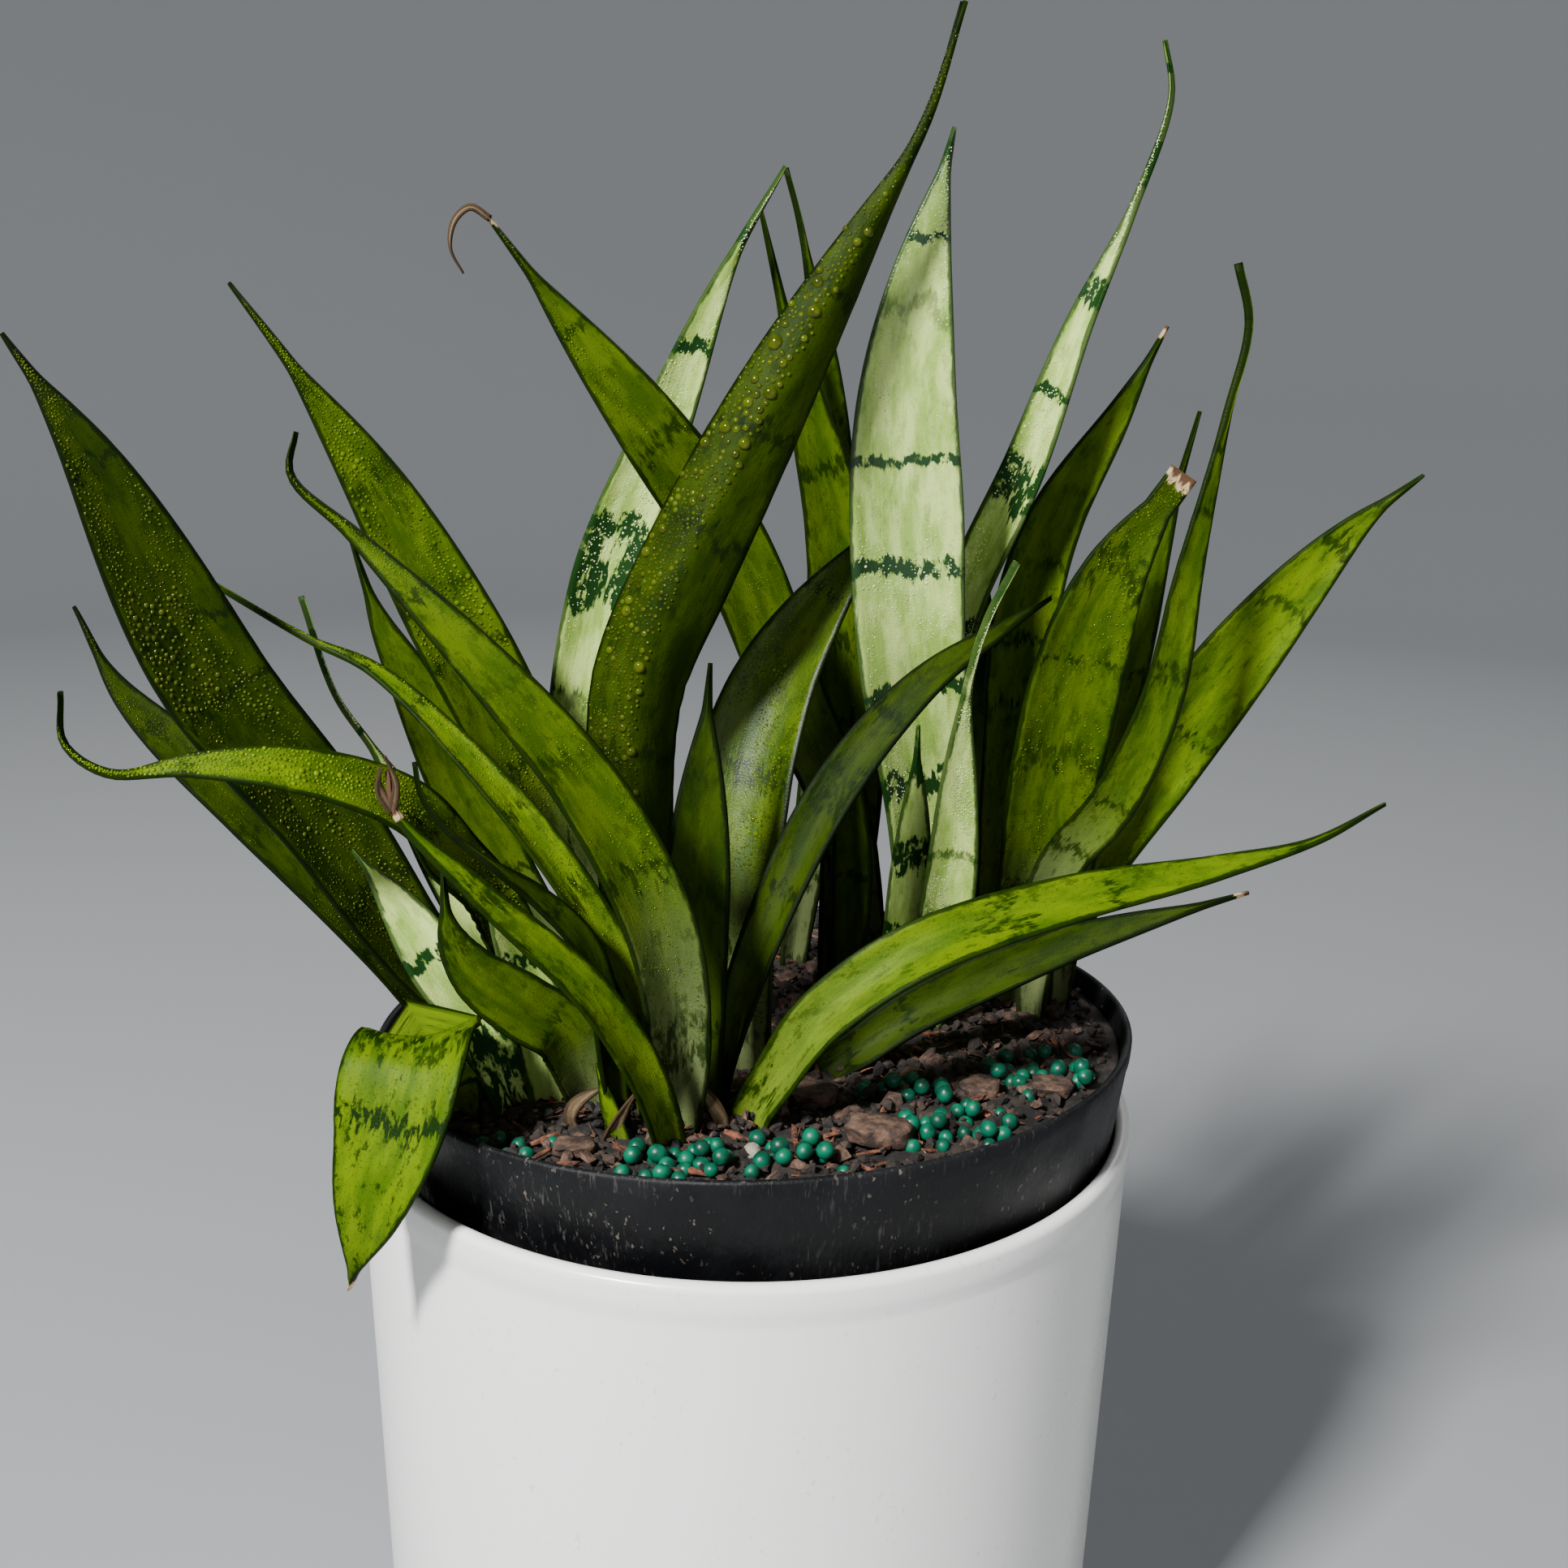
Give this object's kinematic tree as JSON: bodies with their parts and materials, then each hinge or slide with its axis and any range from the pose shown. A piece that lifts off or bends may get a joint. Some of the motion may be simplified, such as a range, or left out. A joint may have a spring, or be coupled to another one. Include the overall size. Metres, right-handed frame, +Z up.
{
  "type": "potted plant",
  "caption": "Potted snake plant: stiff banded leaves rising from potting mix in a black nursery pot, set inside a smooth white round outer planter.",
  "frame": {"origin": "on the outer planter's axis, at its underside, where it rests", "axes": "+Z up; -Y is the front, where the drooping leaf hangs over the rim at the left; +X is to the right as seen from the front"},
  "size_m": [0.2743, 0.1648, 0.3662],
  "materials": {
    "planter_white": "white, smooth, softly glossy",
    "pot_black": "black, scuffed, satin",
    "mix": "dark brown, loose, matt; stands for coarse potting mix",
    "green_leaf": "deep green with darker cross bands, waxy; stands for living leaf",
    "pale_leaf": "silvery green with darker cross bands, waxy; stands for living leaf",
    "granules": "bright blue-green, smooth",
    "bark": "brown, rough, matt"
  },
  "bodies": {
    "root": {"outer_planter": "planter_white", "nursery_pot": "pot_black", "potting_mix": "mix", "leaf_far_left": "green_leaf", "leaf_upper_left": "green_leaf", "leaf_low_left": "green_leaf", "leaf_low_left_rear": "green_leaf", "leaf_level_left": "green_leaf", "leaf_front_left": "green_leaf", "leaf_slender_left": "green_leaf", "leaf_spike_left": "pale_leaf", "leaf_dry_tip": "green_leaf", "leaf_shaded_left": "green_leaf", "leaf_pale_left": "pale_leaf", "leaf_pale_short": "pale_leaf", "leaf_drooping": "green_leaf", "leaf_twisted": "green_leaf", "leaf_left_rear": "green_leaf", "leaf_centre_shaded": "green_leaf", "leaf_centre_rear": "green_leaf", "leaf_tall_dark": "green_leaf", "leaf_tall_pale": "pale_leaf", "leaf_curled_tip": "green_leaf", "leaf_pale_rear": "pale_leaf", "leaf_rear_green": "green_leaf", "leaf_rear_shaded": "green_leaf", "leaf_glossy": "green_leaf", "leaf_arching": "green_leaf", "leaf_speckled": "pale_leaf", "leaf_pale_centre": "pale_leaf", "leaf_dark_centre": "green_leaf", "leaf_tall_folded": "pale_leaf", "leaf_right_green": "green_leaf", "leaf_broad_right": "green_leaf", "leaf_right_hidden": "green_leaf", "leaf_wavy_right": "green_leaf", "leaf_right_low": "green_leaf", "leaf_long_right": "green_leaf", "leaf_low_right": "green_leaf", "leaf_right_rear": "green_leaf", "granules_front": "granules", "granules_right": "granules", "granules_middle": "granules", "granules_right_front": "granules", "granules_left": "granules", "bark_chip_dark": "bark", "bark_chip_large": "bark", "bark_chip_right": "bark", "bark_chip_edge": "bark", "bark_chip_left": "bark"}
  },
  "joints": []
}
